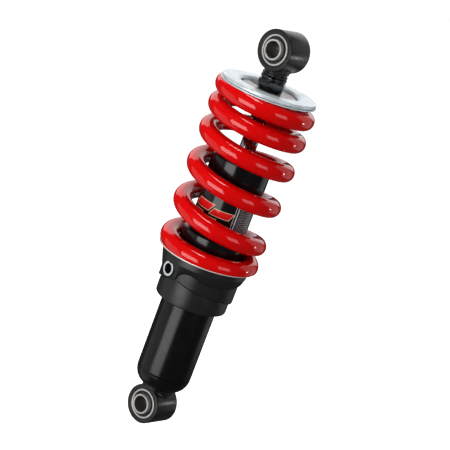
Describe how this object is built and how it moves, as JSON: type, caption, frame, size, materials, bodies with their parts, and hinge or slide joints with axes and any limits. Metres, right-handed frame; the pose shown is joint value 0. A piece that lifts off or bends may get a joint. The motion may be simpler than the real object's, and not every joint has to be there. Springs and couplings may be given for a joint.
{
  "type": "rear shock absorber",
  "caption": "Coil-over-damper monoshock with rubber-bushed eyes, a progressive spring, a ramp preload adjuster and a piston rod that slides in the body.",
  "frame": {"origin": "centre of the lower eye, on its bolt axis", "axes": "+Z along the damper towards the upper eye, Y along both bolt axes, and X across them"},
  "size_m": [0.0784, 0.0784, 0.3204],
  "materials": {
    "cast_black": "satin black coating over a cast surface",
    "black_paint": "semi-gloss black paint",
    "gloss_black": "gloss black",
    "red_powder": "gloss red powder coat",
    "zinc": "bluish white zinc plating",
    "bright_steel": "machined",
    "dull_steel": "plain",
    "black_oxide": "black oxide",
    "chrome": "ground and hard chromed",
    "aluminium": "machined",
    "bronze": "sintered bronze",
    "slip_band": "bronze-filled slip band",
    "rubber": "matt"
  },
  "bodies": {
    "damper_body": {"body_tube": "black_paint", "body_base": "black_paint", "lower_eye": "cast_black", "lower_bush_shell": "bright_steel", "lower_bush_rubber": "rubber", "top_cap": "gloss_black", "seal_head": "aluminium", "rod_bushing": "bronze", "oil_seal": "rubber", "head_o_ring": "rubber", "dust_wiper": "rubber", "ramp_snap_ring": "dull_steel", "preload_ramp_ring": "cast_black", "coil_spring": "red_powder"},
    "lower_bolt_sleeve": {"lower_bush_sleeve": "bright_steel"},
    "adjuster_lift": {"lower_spring_washer": "bright_steel", "spring_guide": "gloss_black"},
    "adjuster_collar": {"preload_collar": "cast_black"},
    "floating_piston_body": {"floating_piston": "aluminium", "floating_piston_ring": "rubber"},
    "spring_seat": {"upper_spring_seat": "zinc", "upper_spring_washer": "zinc"},
    "rod_assembly": {"piston_rod": "chrome", "piston": "dull_steel", "piston_band": "slip_band", "rebound_shims": "bright_steel", "compression_shims": "bright_steel", "piston_nut": "dull_steel", "top_out_plate": "dull_steel", "top_out_bumper": "rubber", "bump_washer": "dull_steel", "bump_stop": "rubber", "seat_retainer": "zinc", "lock_nut": "black_oxide", "upper_eye": "cast_black", "upper_bush_shell": "bright_steel", "upper_bush_rubber": "rubber"},
    "upper_bolt_sleeve": {"upper_bush_sleeve": "bright_steel"}
  },
  "joints": [
    {"name": "compression", "type": "slide", "parent": "damper_body", "child": "spring_seat", "axis": [0, 0, -1], "range_m": [0, 0.035], "stiffness_N_per_m": 240000, "deforming": ["coil_spring"]},
    {"name": "rod_swivel", "type": "hinge", "parent": "spring_seat", "child": "rod_assembly", "pos_m": [0, 0, 0.2], "axis": [0, 0, 1], "continuous": true},
    {"name": "upper_bush_twist", "type": "hinge", "parent": "rod_assembly", "child": "upper_bolt_sleeve", "pos_m": [0, 0, 0.29], "axis": [0, 1, 0], "range_deg": [-12, 12], "stiffness_Nm_per_rad": 25},
    {"name": "lower_bush_twist", "type": "hinge", "parent": "damper_body", "child": "lower_bolt_sleeve", "pos_m": [0, 0, 0], "axis": [0, 1, 0], "range_deg": [-12, 12], "stiffness_Nm_per_rad": 25},
    {"name": "preload_lift", "type": "slide", "parent": "damper_body", "child": "adjuster_lift", "axis": [0, 0, 1], "range_m": [0, 0.0062]},
    {"name": "preload_turn", "type": "hinge", "parent": "adjuster_lift", "child": "adjuster_collar", "pos_m": [0, 0, 0.11], "axis": [0, 0, -1], "range_deg": [0, 75]},
    {"name": "floating_piston_slide", "type": "slide", "parent": "damper_body", "child": "floating_piston_body", "axis": [0, 0, -1], "range_m": [0, 0.0043]}
  ],
  "couplings": [
    {"joint": "preload_lift", "follows": "preload_turn", "m_per_rad": 0.0046834},
    {"joint": "floating_piston_slide", "follows": "compression", "ratio": 0.12056}
  ]
}
